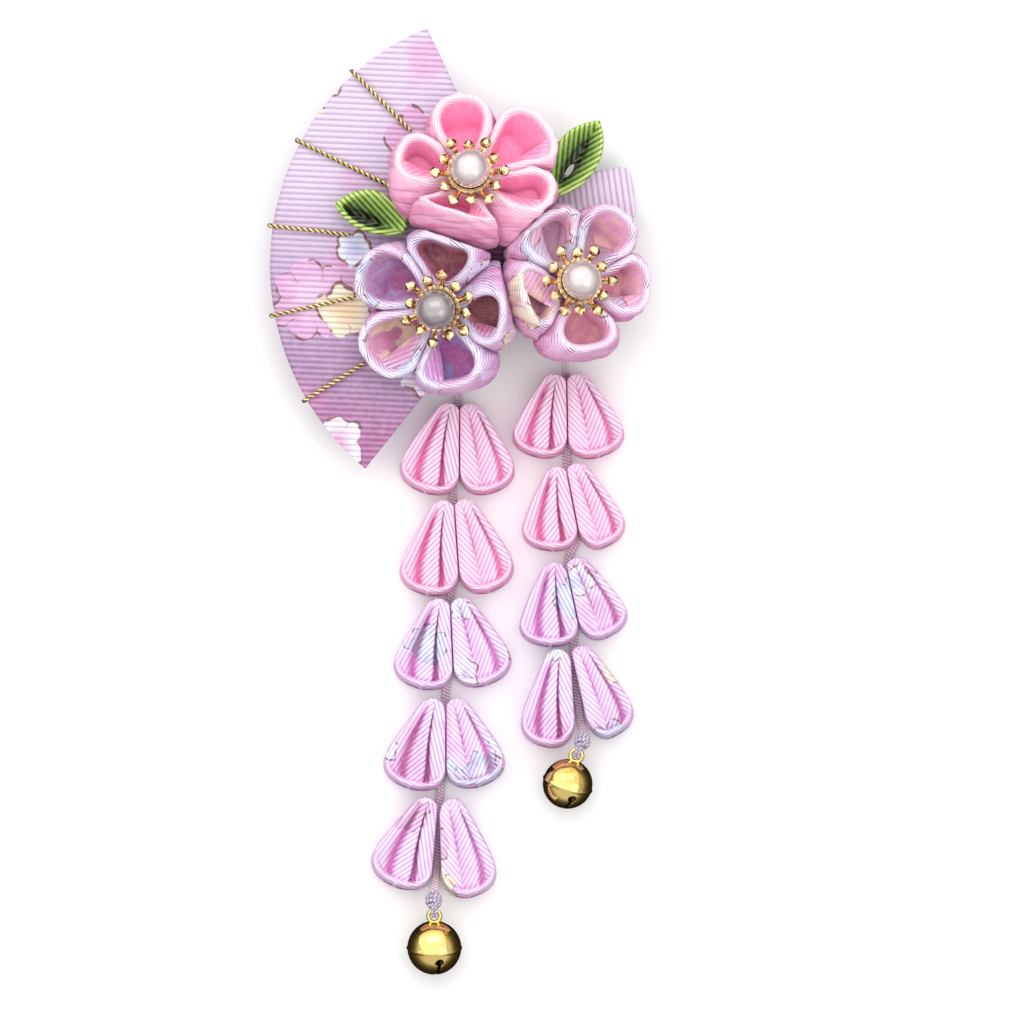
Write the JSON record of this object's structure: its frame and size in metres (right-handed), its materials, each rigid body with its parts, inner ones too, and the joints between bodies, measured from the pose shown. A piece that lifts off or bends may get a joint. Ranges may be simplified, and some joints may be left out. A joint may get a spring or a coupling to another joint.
{
  "type": "hair barrette",
  "caption": "Hair barrette with folded-ribbon flowers on a ribbon fan, a spring clip behind, and hanging strands of ribbon petals that end in round bells.",
  "frame": {"origin": "on the flat back face of the clip's lower jaw, at the middle of the clip's length, under the flowers", "axes": "+Z out of the wearer's hair towards the viewer, +Y up from the bells to the flowers, +X to the viewer's right, away from the fan"},
  "size_m": [0.0731, 0.1802, 0.0257],
  "materials": {
    "ribbon_pink": "grosgrain ribbon, soft sheen",
    "ribbon_print": "printed grosgrain ribbon, soft sheen",
    "ribbon_fan": "printed stiffened grosgrain ribbon",
    "ribbon_pale": "grosgrain ribbon",
    "ribbon_green": "ribbed green ribbon",
    "gold_cord": "twisted metallic gold cord",
    "gold_metal": "cast, gold plated, polished",
    "pearl": "imitation pearl, lustrous",
    "cord": "twisted lilac cord",
    "bell_brass": "polished brass",
    "steel": "nickel plated sheet"
  },
  "bodies": {
    "root": {"clip": "steel", "clip_ribbon": "ribbon_pale", "fan_panel": "ribbon_fan", "fan_cord_1": "gold_cord", "fan_cord_2": "gold_cord", "fan_cord_3": "gold_cord", "fan_cord_4": "gold_cord", "fan_cord_5": "gold_cord", "pink_petal_1": "ribbon_pink", "pink_petal_2": "ribbon_pink", "pink_petal_3": "ribbon_pink", "pink_petal_4": "ribbon_pink", "pink_petal_5": "ribbon_pink", "left_petal_1": "ribbon_print", "left_petal_2": "ribbon_print", "left_petal_3": "ribbon_print", "left_petal_4": "ribbon_print", "left_petal_5": "ribbon_print", "right_petal_1": "ribbon_print", "right_petal_2": "ribbon_print", "right_petal_3": "ribbon_print", "right_petal_4": "ribbon_print", "right_petal_5": "ribbon_print", "pink_stamens": "gold_metal", "left_stamens": "gold_metal", "right_stamens": "gold_metal", "pink_pearl": "pearl", "left_pearl": "pearl", "right_pearl": "pearl", "leaf_left": "ribbon_green", "leaf_right": "ribbon_green", "left_cord": "cord", "right_cord": "cord", "left_pair_1_a": "ribbon_pink", "left_pair_1_b": "ribbon_pink", "left_pair_2_a": "ribbon_pink", "left_pair_2_b": "ribbon_pink", "left_pair_3_a": "ribbon_print", "left_pair_3_b": "ribbon_print", "left_pair_4_a": "ribbon_print", "left_pair_4_b": "ribbon_print", "left_pair_5_a": "ribbon_print", "left_pair_5_b": "ribbon_print", "right_pair_1_a": "ribbon_pink", "right_pair_1_b": "ribbon_pink", "right_pair_2_a": "ribbon_pink", "right_pair_2_b": "ribbon_pink", "right_pair_3_a": "ribbon_print", "right_pair_3_b": "ribbon_print", "right_pair_4_a": "ribbon_print", "right_pair_4_b": "ribbon_print", "left_bell": "bell_brass", "right_bell": "bell_brass", "left_bell_ball": "steel", "right_bell_ball": "steel"}
  },
  "joints": []
}
